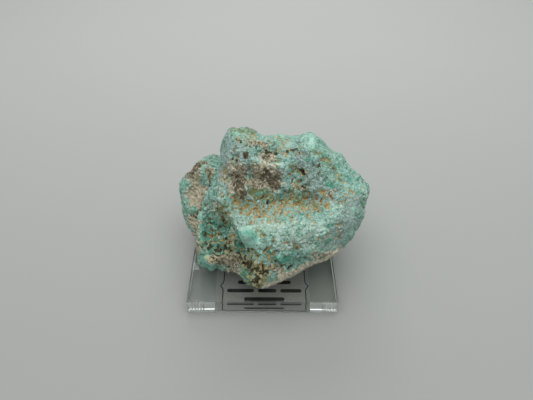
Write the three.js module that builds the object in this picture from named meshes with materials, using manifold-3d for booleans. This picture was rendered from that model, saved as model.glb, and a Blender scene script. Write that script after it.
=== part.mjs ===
// A rough turquoise nodule resting on a clear acrylic display slab, with a small paper label
// stuck into the slab's underside. Millimetres, +Z up, +X to the right of the stone's broad face.
// The origin is the middle of the slab's underside, on the surface that the slab stands on.

import * as THREE from 'three';
import { mergeVertices } from 'three/addons/utils/BufferGeometryUtils.js';
import Module from 'manifold-3d';

const wasm = await Module();
wasm.setup();

// The slab: two inches square, a quarter of an inch thick, its edges broken by a small chamfer.
const SLAB_SIDE = 50.8;
const SLAB_THICKNESS = 6.35;
const SLAB_CHAMFER = 0.3;

// The label: a printed slip near the slab's front edge, in a shallow recess of its own.
const LABEL_WIDTH = 32.8;
const LABEL_DEPTH = 16.4;
const LABEL_THICKNESS = 0.2;
const LABEL_CENTRE_Y = -16.2;
const LABEL_GAP = 0.3;

// The stone: its broad face leans back, and is laid out flat as (u across, v up the face,
// w out of the face) about the middle of the face. The layout narrows towards a sighting
// point in front of the face, so that what rises out of the face doesn't spread sideways.
const FACE_CENTRE = new THREE.Vector3(4.1, -2.7, 27.9);
const FACE_LEAN = THREE.MathUtils.degToRad(42.2);
const SIGHT_DISTANCE = 152;
const ACROSS = new THREE.Vector3(1, 0, 0);
const UP_THE_FACE = new THREE.Vector3(0, Math.sin(FACE_LEAN), Math.cos(FACE_LEAN));
const OUT_OF_FACE = new THREE.Vector3(0, -Math.cos(FACE_LEAN), Math.sin(FACE_LEAN));

const STONE_CLEARANCE = 0.1; // between the stone's lowest lump and the slab
const UNDERSIDE_SOFTNESS = 2.6; // how gently the underside levels out above the slab
const WANDER = 0.8; // how far the edges of the strokes below stray sideways
const EVENING = { passes: 8, along: 0.5, inward: 0.06 }; // see evenOut

// The stone is two masses grown together. Each has an outline of [u, v, w] points,
// anticlockwise round its middle from the right, and bulges from there to the front and back:
// a fullness under 1 keeps the middle broad and the edge steep. A stroke is a path of [u, v]
// points, how far it reaches to each side of the path, and how far it lifts the surface
// (or sinks it, below 0).
const MAIN_BODY = {
  detail: 19, // splits of each of an icosahedron's 20 faces
  middle: { u: 0, v: 0, w: 0 },
  front: { thickness: 9, fullness: 0.6 },
  back: { thickness: 26.5, fullness: 0.85 },
  outline: [
    [32, 4.4, 0],
    [31.6, 7, -1],
    [27.6, 11.8, -3],
    [24.8, 14, -4],
    [22.6, 17.7, -4],
    [18.3, 19, -4],
    [16.9, 21.3, -4],
    [13.1, 24.4, -3],
    [9.6, 24.4, -2],
    [8.2, 23.5, -2],
    [1.4, 24.1, -4],
    [-1.1, 23.4, -4],
    [-5.6, 24.3, -4],
    [-6.6, 25.6, -4],
    [-11.8, 26.6, -3],
    [-14.2, 26.8, -2],
    [-15.8, 24.9, -2],
    [-17.2, 22.7, -3],
    [-18.3, 19.4, -3],
    [-18.6, 17.4, -3],
    [-18.6, 14.2, -2],
    [-20, 10.5, -1],
    [-22.6, 4.7, -1],
    [-24.4, -0.7, -2],
    [-26.4, -9, -3],
    [-27.2, -13, -4],
    [-26.5, -16.5, -4],
    [-25.9, -19.6, -4],
    [-23.7, -20.7, -4],
    [-20.3, -21.5, -4.5],
    [-18.6, -22.7, -5],
    [-13.5, -23, -5],
    [-11.3, -23.8, -1],
    [-9.6, -26, 3],
    [-6.5, -27.5, 6],
    [-4, -27.5, 6],
    [-1.1, -25.8, 5],
    [2.3, -24.4, 3],
    [7.3, -22.4, 2],
    [13.5, -19, 2],
    [19.5, -15.9, 2],
    [22.6, -14.2, 2],
    [26.5, -9.7, 2],
    [29.8, -4.8, 1],
    [30.2, -2.1, 1],
    [31.5, 1.6, 0],
  ],
  frontStrokes: [
    { name: 'horn', path: [[-13.5, 23], [-13, 17]], reach: 8, rise: 3.8 },
    { name: 'horn overhang', path: [[-17, 14.5], [-10, 13.5]], reach: 3, rise: 1.8 },
    { name: 'horn dents', path: [[-10.5, 21.5], [-7.5, 20.5]], reach: 2.2, rise: -2 },
    { name: 'right knob', path: [[11.2, 21.3], [14, 15]], reach: 7, rise: 3.5 },
    { name: 'middle saddle', path: [[0, 21.5], [3, 19]], reach: 5, rise: -1 },
    { name: 'small upper hollow', path: [[-6, 18], [-1.5, 17.8]], reach: 2.8, rise: -3.2 },
    { name: 'pale ridge', path: [[-8.5, 15], [-4, 14], [1.5, 12.5]], reach: 2.2, rise: 2.2 },
    { name: 'matrix hollow', path: [[-14, 10.5], [-6, 9.5], [1, 9.5]], reach: 5.6, rise: -4.2 },
    { name: 'left matrix lump', path: [[-12.6, 7.8], [-11.4, 6.2]], reach: 3, rise: 3.4 },
    { name: 'right matrix lump', path: [[-5.5, 11.5], [-0.5, 9]], reach: 2.6, rise: 2.6 },
    { name: 'matrix ledge', path: [[-11.5, 12], [-7, 12.4]], reach: 1.8, rise: 1.2 },
    { name: 'green pit', path: [[-7.4, 5.6], [-3.4, 4.6]], reach: 2.4, rise: -2.6 },
    { name: 'pit lip', path: [[-9, 2.5], [-3, 2], [0, 4]], reach: 1.8, rise: 1 },
    { name: 'blue wedge', path: [[4, 12], [3, 8.5], [2.4, 5]], reach: 2.8, rise: 2.6 },
    { name: 'right hollow', path: [[7, 8], [10, 5.5]], reach: 3.2, rise: -3 },
    { name: 'right hump', path: [[12, 9], [18, 7]], reach: 5, rise: 2.4 },
    { name: 'right dent', path: [[17.9, 10.4], [18.3, 9.8]], reach: 2.4, rise: -1.8 },
    { name: 'upper dent', path: [[8.8, 13.2], [8.4, 12.6]], reach: 2.2, rise: -2 },
    { name: 'knob dent', path: [[7.1, 19.4], [9, 18.6]], reach: 1.8, rise: -1.4 },
    {
      name: 'valley',
      path: [[-12, -0.5], [-3.4, -1.2], [3.4, 1.4], [11, 1], [17, 0]],
      reach: 5.6,
      rise: -2.6,
    },
    { name: 'lower bulge', path: [[-4, -11], [8.5, -10], [19, -5.5]], reach: 11.5, rise: 4.4 },
    { name: 'bulge top', path: [[2, -5.5], [9, -4.5]], reach: 4, rise: 1 },
    { name: 'left shoulder', path: [[-20.3, 6.1], [-14.5, -2.4], [-10.1, -8]], reach: 4.6, rise: 3 },
    { name: 'dark slope', path: [[-20.5, -5], [-18.5, -11]], reach: 5.5, rise: -3 },
    { name: 'slope ledge', path: [[-22, -8.6], [-17, -7.6]], reach: 2, rise: 1.6 },
    { name: 'left edge', path: [[-22, 2], [-23.6, -3], [-25, -12]], reach: 1.8, rise: 1.6 },
    { name: 'smooth lump', path: [[-9.2, -9.4], [-8.2, -10.8]], reach: 4.2, rise: 2.6 },
    { name: 'crack', path: [[-14.4, -8.4], [-14.6, -12.5], [-14.2, -16]], reach: 1.8, rise: -2.4 },
    { name: 'lower left hollow', path: [[-21.5, -14.6], [-17.5, -16]], reach: 3, rise: -2.6 },
    { name: 'green lump', path: [[-23.2, -17], [-21.2, -18.6]], reach: 3.2, rise: 3 },
    { name: 'undercut', path: [[-18, -20], [-12.6, -20.5]], reach: 4, rise: -4.5 },
    { name: 'front tip', path: [[-7, -18.5], [-5.6, -23.5]], reach: 5, rise: 3.6 },
    { name: 'tip hole', path: [[-8, -20], [-5, -21]], reach: 2.2, rise: -2 },
    { name: 'teal lump', path: [[1.5, -15.8], [5.4, -17.2]], reach: 3.4, rise: 2 },
    { name: 'lower notch', path: [[1.6, -20.4], [4, -21]], reach: 2.4, rise: -2 },
    { name: 'right bulge', path: [[22, -1.5], [25.5, -3.5]], reach: 5, rise: 1.6 },
    { name: 'right crease', path: [[22, 1.6], [28, 1]], reach: 2.6, rise: -1.2 },
    { name: 'nose', path: [[28.5, 4.5], [30, 4.4]], reach: 4, rise: 1.4 },
  ],
  backStrokes: [
    { name: 'back hump', path: [[-6, 10], [8, 8]], reach: 13, rise: 3 },
    { name: 'back right lobe', path: [[20, 6], [22, 0]], reach: 8, rise: 3 },
    { name: 'back cleft', path: [[2, 20], [4, 9], [10, 2]], reach: 4, rise: -3 },
    { name: 'back shelf', path: [[-14, 18], [-6, 17]], reach: 5, rise: 2.6 },
    { name: 'back dent', path: [[14, 14], [17, 12]], reach: 4, rise: -2.6 },
    { name: 'lower right undercut', path: [[10, -17], [24, -10]], reach: 6, rise: -6 },
    { name: 'right foot', path: [[4, -4], [15, -2]], reach: 10, rise: 3.5 },
  ],
};

const LOBE = {
  detail: 8,
  middle: { u: -22, v: 4, w: -13 },
  front: { thickness: 4.5, fullness: 0.5 },
  back: { thickness: 12, fullness: 0.8 },
  outline: [
    [-13, 4, -14],
    [-14, 11, -14],
    [-18, 17.5, -13],
    [-20.3, 17.9, -13],
    [-23.7, 17.1, -14],
    [-26.5, 14.5, -14],
    [-28.8, 11.4, -14],
    [-31.7, 7.2, -14],
    [-31.7, 2.7, -14],
    [-31, 0.4, -14],
    [-30.7, -2.9, -14],
    [-29.3, -7.2, -13],
    [-27.4, -9.7, -12],
    [-23, -13, -12],
    [-17, -9, -12],
    [-14, -2, -13],
  ],
  frontStrokes: [
    { name: 'lobe basin', path: [[-27.2, 9], [-27, 3.5]], reach: 3.6, rise: -2.4 },
    { name: 'lobe rim', path: [[-27.5, 13], [-30, 9], [-30.6, 4]], reach: 1.8, rise: 1.4 },
    { name: 'lobe band', path: [[-30, -0.8], [-26.4, -0.2]], reach: 2, rise: 2.2 },
    { name: 'lobe ridge', path: [[-25, 13], [-24.6, 9.6]], reach: 1.8, rise: 2 },
    { name: 'lobe pit', path: [[-22.4, 11.4], [-22.2, 9.4]], reach: 2, rise: -2.4 },
    { name: 'lobe crease', path: [[-29, -4], [-25, -3.4]], reach: 2, rise: -1.8 },
  ],
  backStrokes: [{ name: 'lobe underside', path: [[-26, 6], [-25, 0]], reach: 6, rise: -3 }],
};

// Rounded lumps of three sizes all over, with creases between them, and scattered pits.
const LUMPS = [
  { size: 11, rise: 1.5, salt: 7 },
  { size: 5.2, rise: 1.7, salt: 3 },
  { size: 2.8, rise: 0.7, salt: 11 },
];
const LUMP_LEVEL = 0.3; // a lump's share that stands out; the rest sinks into the creases
const PITS = { spacing: 7.5, reach: 1.8, depth: 1.3, salt: 29 };

// A repeatable number from 0 to 1 for a cell of a grid.
function cellValue(i, j, k, salt) {
  const mixed = Math.sin(i * 127.1 + j * 311.7 + k * 74.7 + salt * 53.3) * 43758.5453;
  return mixed - Math.floor(mixed);
}

// Distance from a point to the nearest of the scattered points, one in each cell of a grid.
function scatterDistance(point, size, salt) {
  const [x, y, z] = [point.x / size, point.y / size, point.z / size];
  const [i0, j0, k0] = [Math.floor(x), Math.floor(y), Math.floor(z)];
  let nearest = Infinity;
  for (let i = i0 - 1; i <= i0 + 1; i++) {
    for (let j = j0 - 1; j <= j0 + 1; j++) {
      for (let k = k0 - 1; k <= k0 + 1; k++) {
        const dx = i + cellValue(i, j, k, salt) - x;
        const dy = j + cellValue(i, j, k, salt + 1) - y;
        const dz = k + cellValue(i, j, k, salt + 2) - z;
        nearest = Math.min(nearest, dx * dx + dy * dy + dz * dz);
      }
    }
  }
  return Math.sqrt(nearest) * size;
}

// 1 at the middle of a stroke, easing to 0 at its reach.
function falloff(distance, reach) {
  const t = Math.min(distance / reach, 1);
  return (1 - t * t) ** 2;
}

function distanceToSegment(u, v, [au, av], [bu, bv]) {
  const [du, dv] = [bu - au, bv - av];
  const along = THREE.MathUtils.clamp(((u - au) * du + (v - av) * dv) / (du * du + dv * dv), 0, 1);
  return Math.hypot(u - au - du * along, v - av - dv * along);
}

function distanceToPath(u, v, path) {
  let nearest = Infinity;
  for (let i = 1; i < path.length; i++) {
    nearest = Math.min(nearest, distanceToSegment(u, v, path[i - 1], path[i]));
  }
  return nearest;
}

// The strokes' sum at a place on the face. Their edges stray, so that none looks ruled.
function strokesAt(u, v, strokes) {
  const strayU = u + WANDER * (Math.sin(0.55 * v + 0.7) + 0.5 * Math.sin(1.1 * v + 0.6 * u));
  const strayV = v + WANDER * (Math.sin(0.5 * u + 2.1) + 0.5 * Math.sin(u - 0.7 * v));
  return strokes.reduce(
    (sum, { path, reach, rise }) => sum + rise * falloff(distanceToPath(strayU, strayV, path), reach),
    0,
  );
}

// A mass's outline as a smooth closed curve, read by its angle round the mass's middle.
function readOutline({ outline, middle }) {
  const points = outline.map(([u, v, w]) => new THREE.Vector3(u - middle.u, v - middle.v, w - middle.w));
  const samples = new THREE.CatmullRomCurve3(points, true, 'centripetal').getPoints(outline.length * 12);
  samples.pop();
  const rows = samples.map((p) => ({ angle: Math.atan2(p.y, p.x), radius: Math.hypot(p.x, p.y), w: p.z }));
  rows.sort((a, b) => a.angle - b.angle);
  rows.unshift({ ...rows.at(-1), angle: rows.at(-1).angle - 2 * Math.PI });
  rows.push({ ...rows[1], angle: rows[1].angle + 2 * Math.PI });
  return (angle) => {
    const next = Math.max(rows.findIndex((row) => row.angle >= angle), 1);
    const [a, b] = [rows[next - 1], rows[next]];
    const share = (angle - a.angle) / Math.max(b.angle - a.angle, 1e-9);
    return {
      radius: THREE.MathUtils.lerp(a.radius, b.radius, share),
      w: THREE.MathUtils.lerp(a.w, b.w, share),
    };
  };
}

// A point of the face's layout, as a point of the part.
function fromFace(u, v, w) {
  const narrowing = 1 - w / SIGHT_DISTANCE;
  return FACE_CENTRE.clone()
    .addScaledVector(ACROSS, u * narrowing)
    .addScaledVector(UP_THE_FACE, v * narrowing)
    .addScaledVector(OUT_OF_FACE, w);
}

// Where a direction from a mass's middle meets the mass's surface.
function surfacePoint(direction, mass, outlineAt) {
  const angle = Math.atan2(direction.y, direction.x);
  const rim = outlineAt(angle);
  const spread = Math.min(Math.hypot(direction.x, direction.y), 1);
  const depth = Math.sqrt(1 - spread * spread);
  const u = mass.middle.u + rim.radius * spread * Math.cos(angle);
  const v = mass.middle.v + rim.radius * spread * Math.sin(angle);
  const rimW = mass.middle.w + rim.w * spread * spread;
  if (direction.z >= 0) {
    const rise = mass.front.thickness + strokesAt(u, v, mass.frontStrokes);
    return fromFace(u, v, rimW + rise * depth ** mass.front.fullness);
  }
  const rise = mass.back.thickness + strokesAt(u, v, mass.backStrokes);
  return fromFace(u, v, rimW - rise * depth ** mass.back.fullness);
}

// How far the lumps stand out at a point, less the pits.
function lumpsAt(point) {
  const pit = PITS.depth * falloff(scatterDistance(point, PITS.spacing, PITS.salt), PITS.reach);
  return LUMPS.reduce((sum, { size, rise, salt }) => {
    const fromMiddle = scatterDistance(point, size, salt) / size;
    return sum + rise * (LUMP_LEVEL - fromMiddle ** 2);
  }, -pit);
}

// The underside levels out softly above the slab.
function levelOut(height, floor) {
  const over = (height - floor) / UNDERSIDE_SOFTNESS;
  return floor + UNDERSIDE_SOFTNESS * (over > 20 ? over : Math.log1p(Math.exp(over)));
}

// Slides each corner along the surface towards the middle of its neighbours, and a little
// inwards, so that steep stretches get triangles of the same size as level ones.
function evenOut(geometry) {
  const position = geometry.attributes.position;
  const corners = geometry.index.array;
  const here = new THREE.Vector3();
  const outward = new THREE.Vector3();
  for (let pass = 0; pass < EVENING.passes; pass++) {
    geometry.computeVertexNormals();
    const sums = Array.from({ length: position.count }, () => new THREE.Vector3());
    const counts = new Array(position.count).fill(0);
    corners.forEach((from, i) => {
      const to = corners[i % 3 === 2 ? i - 2 : i + 1];
      sums[from].add(here.fromBufferAttribute(position, to));
      counts[from] += 1;
    });
    sums.forEach((sum, i) => {
      here.fromBufferAttribute(position, i);
      outward.fromBufferAttribute(geometry.attributes.normal, i);
      const move = sum.divideScalar(counts[i]).sub(here);
      const lift = move.dot(outward);
      here.addScaledVector(move, EVENING.along);
      here.addScaledVector(outward, lift * (EVENING.inward - EVENING.along));
      position.setXYZ(i, here.x, here.y, here.z);
    });
  }
}

function massGeometry(mass) {
  const ball = new THREE.IcosahedronGeometry(1, mass.detail);
  ball.deleteAttribute('normal');
  ball.deleteAttribute('uv');
  const geometry = mergeVertices(ball, 1e-4);
  const outlineAt = readOutline(mass);
  const position = geometry.attributes.position;
  const corner = new THREE.Vector3();
  for (let i = 0; i < position.count; i++) {
    const placed = surfacePoint(corner.fromBufferAttribute(position, i), mass, outlineAt);
    position.setXYZ(i, placed.x, placed.y, levelOut(placed.z, SLAB_THICKNESS));
  }
  evenOut(geometry);
  geometry.computeVertexNormals();
  const outward = new THREE.Vector3();
  for (let i = 0; i < position.count; i++) {
    corner.fromBufferAttribute(position, i);
    outward.fromBufferAttribute(geometry.attributes.normal, i);
    corner.addScaledVector(outward, lumpsAt(corner));
    position.setXYZ(i, corner.x, corner.y, corner.z);
  }
  return geometry;
}

// manifold-3d joins and cuts closed meshes whose shared vertices are merged.
function toSolid(geometry) {
  const bare = geometry.clone();
  bare.deleteAttribute('normal');
  bare.deleteAttribute('uv');
  const merged = mergeVertices(bare, 1e-4);
  const triVerts = merged.index
    ? new Uint32Array(merged.index.array)
    : Uint32Array.from({ length: merged.attributes.position.count }, (_, i) => i);
  return new wasm.Manifold(
    new wasm.Mesh({
      numProp: 3,
      vertProperties: new Float32Array(merged.attributes.position.array),
      triVerts,
    }),
  );
}

function toGeometry(solid) {
  const mesh = solid.getMesh();
  const geometry = new THREE.BufferGeometry();
  geometry.setAttribute('position', new THREE.BufferAttribute(mesh.vertProperties, 3));
  geometry.setIndex(new THREE.BufferAttribute(mesh.triVerts, 1));
  return geometry;
}

// Both masses as one solid, let down until its lowest lump just clears the slab.
function stoneGeometry() {
  const geometry = toGeometry(toSolid(massGeometry(MAIN_BODY)).add(toSolid(massGeometry(LOBE))));
  geometry.computeBoundingBox();
  return geometry.translate(0, 0, SLAB_THICKNESS + STONE_CLEARANCE - geometry.boundingBox.min.z);
}

function rectangle(width, depth) {
  const shape = new THREE.Shape();
  shape.moveTo(-width / 2, -depth / 2);
  shape.lineTo(width / 2, -depth / 2);
  shape.lineTo(width / 2, depth / 2);
  shape.lineTo(-width / 2, depth / 2);
  shape.closePath();
  return shape;
}

// A square block with every top and bottom edge chamfered, less the label's recess.
function slabGeometry() {
  const block = new THREE.ExtrudeGeometry(rectangle(SLAB_SIDE, SLAB_SIDE), {
    depth: SLAB_THICKNESS - 2 * SLAB_CHAMFER,
    bevelThickness: SLAB_CHAMFER,
    bevelSize: SLAB_CHAMFER,
    bevelOffset: -SLAB_CHAMFER,
    bevelSegments: 1,
  });
  block.translate(0, 0, SLAB_CHAMFER);
  const recessDepth = LABEL_THICKNESS + LABEL_GAP;
  const below = 1;
  const recess = new THREE.BoxGeometry(
    LABEL_WIDTH + 2 * LABEL_GAP,
    LABEL_DEPTH + 2 * LABEL_GAP,
    recessDepth + below,
  );
  recess.translate(0, LABEL_CENTRE_Y, (recessDepth - below) / 2);
  return toGeometry(toSolid(block).subtract(toSolid(recess)));
}

function labelGeometry() {
  const slip = new THREE.ExtrudeGeometry(rectangle(LABEL_WIDTH, LABEL_DEPTH), {
    depth: LABEL_THICKNESS,
    bevelEnabled: false,
  });
  return slip.translate(0, LABEL_CENTRE_Y, 0);
}

function addPiece(group, name, geometry, finish) {
  const mesh = new THREE.Mesh(geometry, new THREE.MeshStandardMaterial(finish));
  mesh.name = name;
  group.add(mesh);
}

const group = new THREE.Group();
group.name = 'turquoise_on_slab';
addPiece(group, 'turquoise_stone', stoneGeometry(), { color: 0x8fb8a6, roughness: 0.8, metalness: 0 });
addPiece(group, 'acrylic_slab', slabGeometry(), {
  color: 0xe8eeec,
  roughness: 0.05,
  metalness: 0,
  transparent: true,
  opacity: 0.35,
});
addPiece(group, 'paper_label', labelGeometry(), { color: 0xe9e8e2, roughness: 0.9, metalness: 0 });

export default group;
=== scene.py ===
# %% [markdown]
# # A rough turquoise nodule on a clear display slab
# This lesson dresses three solids that are already modelled at their real size: the stone, the
# acrylic slab under it, and the paper label stuck under the slab. The solids give the main
# forms, and Blender adds what the eye meets close up: the stone's lumpy, pitted crust, the clear
# plastic and the print. Everything is in metres, in the frame of the solids, apart from the flat
# layout of the stone's broad face, which is in millimetres.

# %% Load the solids
import math
from collections import namedtuple
from functools import partial

import bmesh
import bpy
import numpy as np
from mathutils import Matrix, Vector, noise


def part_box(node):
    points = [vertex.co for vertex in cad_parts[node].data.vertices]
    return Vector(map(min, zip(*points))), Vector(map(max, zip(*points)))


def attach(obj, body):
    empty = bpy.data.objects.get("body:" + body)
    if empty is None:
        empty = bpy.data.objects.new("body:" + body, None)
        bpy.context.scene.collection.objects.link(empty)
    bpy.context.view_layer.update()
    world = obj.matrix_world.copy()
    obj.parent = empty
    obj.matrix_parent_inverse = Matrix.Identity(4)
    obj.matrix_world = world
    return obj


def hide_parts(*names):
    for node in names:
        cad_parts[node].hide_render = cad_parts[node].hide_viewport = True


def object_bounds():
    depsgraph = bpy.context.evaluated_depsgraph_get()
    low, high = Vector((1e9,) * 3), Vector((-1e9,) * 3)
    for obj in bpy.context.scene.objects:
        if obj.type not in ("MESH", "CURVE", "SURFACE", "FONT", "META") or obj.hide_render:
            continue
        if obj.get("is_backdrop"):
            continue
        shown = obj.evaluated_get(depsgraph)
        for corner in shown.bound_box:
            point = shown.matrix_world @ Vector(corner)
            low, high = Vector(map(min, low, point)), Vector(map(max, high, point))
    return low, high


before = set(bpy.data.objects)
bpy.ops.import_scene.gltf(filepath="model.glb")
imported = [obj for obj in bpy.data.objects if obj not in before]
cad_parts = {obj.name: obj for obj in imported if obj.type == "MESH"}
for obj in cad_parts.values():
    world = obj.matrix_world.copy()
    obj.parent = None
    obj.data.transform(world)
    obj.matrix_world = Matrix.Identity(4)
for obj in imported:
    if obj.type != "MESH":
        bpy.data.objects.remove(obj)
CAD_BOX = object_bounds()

MM = 0.001
print("solids:", sorted(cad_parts))

# %% [markdown]
# ## Small helpers
# Colours are written as the hex values that a paint program shows, and Blender wants linear
# light, so one function converts them. Node trees are built by one function that adds a node,
# fills its inputs with values or links, and sets its own options. Each tree has that function
# with the tree already filled in, under the short name add. Inputs that share a name go by
# number: a Map Range takes its value as 0, the limits that it runs between as 1 and 2, and what
# it gives at those limits as 3 and 4. Pieces are finished as plain meshes at the origin, so
# another function turns modifiers into mesh and removes them.

# %% Colour and node helpers
SOFT_STEP = {"interpolation_type": "SMOOTHSTEP"}


def paint(hex_colour):
    """A hex colour as linear red, green, blue and alpha."""
    channels = [int(hex_colour[i : i + 2], 16) / 255 for i in (1, 3, 5)]
    linear = [c / 12.92 if c <= 0.04045 else ((c + 0.055) / 1.055) ** 2.4 for c in channels]
    return (*linear, 1.0)


def add_node(tree, kind, inputs=(), **options):
    """Adds a node and gives its outputs; inputs are values or links, by socket name or number."""
    node = tree.nodes.new(kind)
    for name, value in options.items():
        setattr(node, name, value)
    for key, value in dict(inputs).items():
        if isinstance(value, bpy.types.NodeSocket):
            tree.links.new(value, node.inputs[key])
        else:
            node.inputs[key].default_value = value
    return node.outputs


def new_material(name):
    """An empty material, and the function that adds nodes to it."""
    material = bpy.data.materials.new(name)
    material.use_nodes = True
    material.node_tree.nodes.clear()
    return material, partial(add_node, material.node_tree)


print("turquoise as light:", [round(c, 3) for c in paint("#9DCFBF")])


# %% Object and mesh helpers
def add_object(name, data):
    """A new object at the origin that shows a mesh, a light or a camera."""
    thing = bpy.data.objects.new(name, data)
    bpy.context.scene.collection.objects.link(thing)
    return thing


def add_shape(name, shape):
    """A new object that shows a shape being edited, which is then let go."""
    mesh = bpy.data.meshes.new(name)
    shape.to_mesh(mesh)
    shape.free()
    return add_object(name, mesh)


def settle(piece):
    """Turns a piece's modifiers into plain mesh and removes them."""
    graph = bpy.context.evaluated_depsgraph_get()
    settled = bpy.data.meshes.new_from_object(
        piece.evaluated_get(graph), preserve_all_data_layers=True, depsgraph=graph
    )
    piece.modifiers.clear()
    piece.data = settled
    settled.name = piece.name


def triangles(mesh):
    """How many triangles a mesh's faces make."""
    return sum(len(face.vertices) - 2 for face in mesh.polygons)


def read_rows(items, name):
    """One vector of each item, such as a vertex's place, as rows of x, y, z."""
    values = np.empty(len(items) * 3, np.float32)
    items.foreach_get(name, values)
    return values.reshape(-1, 3).astype(float)


def keep_attribute(mesh, name, values):
    """Stores one number for each vertex, for the relief and the material to read."""
    layer = mesh.attributes.new(name, "FLOAT", "POINT")
    layer.data.foreach_set("value", values.astype(np.float32))


print("stone solid:", triangles(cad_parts["turquoise_stone"].data), "triangles")

# %% [markdown]
# ## The stone's form
# The solid has every form that shows from a step away: the horn, the hollows, the bulge and the
# lobe behind. Its facets are about a millimetre across, which the eye would read as cut faces.
# The copy below is merged, rebuilt on a fine voxel grid and smoothed, so the facets go and the
# forms stay. A second, finer rebuild gives even little faces for the crust. A subdivision
# would keep the old facets' pattern, and sculpting by hand couldn't be repeated.

# %% Rebuild the stone as a fine, even skin
JOIN_REACH = 0.001 * MM
REBUILDS = ((0.5 * MM, 8), (0.38 * MM, 3))  # each one's grid size and passes of smoothing

shape = bmesh.new()
shape.from_mesh(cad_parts["turquoise_stone"].data)
bmesh.ops.remove_doubles(shape, verts=shape.verts, dist=JOIN_REACH)
stone = add_shape("stone", shape)
for grid, passes in REBUILDS:
    rebuild = stone.modifiers.new("rebuild", "REMESH")
    rebuild.mode = "VOXEL"
    rebuild.voxel_size = grid
    smooth = stone.modifiers.new("smooth", "SMOOTH")
    smooth.factor = 0.5
    smooth.iterations = passes
settle(stone)
print("stone skin:", triangles(stone.data), "triangles")

# %% [markdown]
# ## Where each kind of surface lies
# A turquoise nodule isn't one colour. Its crust runs from pale chalky blue to deep teal, iron
# stains it ochre along hollows, and the grey-brown host rock shows where the crust is missing.
# The broad face is laid out flat as u across and v up, in millimetres, and each kind of surface
# is a few strokes on that layout. The layout narrows towards a sighting point in front of the
# face, so that what rises out of the face doesn't spread sideways. Each stroke fades to its
# reach. The strokes are kept on the mesh as attributes, which both the relief and the colour
# read, so the two agree. A painted image would need the stone unwrapped first.

# %% Lay the broad face out flat
FACE_CENTRE = np.array([4.1, -2.7, 27.9])
FACE_LEAN = math.radians(42.2)
SIGHT_DISTANCE = 152
ACROSS = np.array([1, 0, 0])
UP_THE_FACE = np.array([0, math.sin(FACE_LEAN), math.cos(FACE_LEAN)])
OUT_OF_FACE = np.array([0, -math.cos(FACE_LEAN), math.sin(FACE_LEAN)])


def face_layout(points):
    """u across, v up and w out of the broad face, in millimetres."""
    offset = points / MM - FACE_CENTRE
    w = offset @ OUT_OF_FACE
    narrowing = 1 - w / SIGHT_DISTANCE
    return offset @ ACROSS / narrowing, offset @ UP_THE_FACE / narrowing, w


def path_distance(u, v, path):
    """How far each place is from a path of (u, v) points, which may be one point."""
    nearest = np.hypot(u - path[0][0], v - path[0][1])
    for (au, av), (bu, bv) in zip(path, path[1:]):
        du, dv = bu - au, bv - av
        along = np.clip(((u - au) * du + (v - av) * dv) / (du * du + dv * dv), 0, 1)
        nearest = np.minimum(nearest, np.hypot(u - au - du * along, v - av - dv * along))
    return nearest


def strongest_stroke(u, v, strokes):
    """The strongest stroke at each place, each fading from its path to its reach."""
    strongest = np.zeros(len(u))
    for reach, strength, *path in strokes:
        share = np.clip(path_distance(u, v, path) / reach, 0, 1)
        strongest = np.maximum(strongest, strength * (1 - share * share) ** 1.5)
    return strongest


def noise_field(points, size, shift):
    """Smooth noise from about -1 to 1 of a size in millimetres; each shift gives another."""
    offset = Vector((shift, 2.3 * shift, -1.7 * shift))
    places = points / MM / size
    return np.array([noise.noise(Vector(place) + offset) for place in places.tolist()])


def ease(low, high, value):
    """0 below low, 1 above high, and a smooth step between."""
    t = np.clip((value - low) / (high - low), 0, 1)
    return t * t * (3 - 2 * t)


points = read_rows(stone.data.vertices, "co")
u, v, w = face_layout(points)
print(f"broad face: u {u.min():.0f} to {u.max():.0f}, v {v.min():.0f} to {v.max():.0f}")

# %% [markdown]
# ### The strokes
# Bare rock shows in a broad patch under the horn and along the lower rim. It is pale at the
# rim, dark along a few beds and on two smooth lumps, and tufts of turquoise are left on it.
# Ochre follows the valley and the two creases that run down from it. Deep teal gathers on the
# left flank. Smooth, waxy lumps and ridges stand proud of the crust, and worn stretches at the
# edges have little relief. Each stroke is its reach, its strength and the points of its path.
# Painting the mesh by hand would do the same, but strokes can be read, moved and run again.

# %% Paths that several kinds of stroke share
LOWER_RIM = [(-4.5, -28), (3.5, -23.6), (10, -20.6), (16.6, -17.4), (22.5, -13.8)]
RIDGE_OVER_ROCK = [(-8, 16.6), (-3.5, 15), (2, 14.4)]
LEFT_TUFT = [(-9.4, 6.2), (-8.6, 4.2), (-7, 2.9)]
RIGHT_TUFT = [(-1.6, 6.2), (0.2, 3.4)]
CORNER_LUMP = [(-23, -17.6), (-21.4, -19.4)]
UPPER_DARK_LUMP = [(-12.3, 6.8)]
LOWER_DARK_LUMP = [(-10.5, 4.6)]
print("lower rim:", len(LOWER_RIM), "points")

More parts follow.
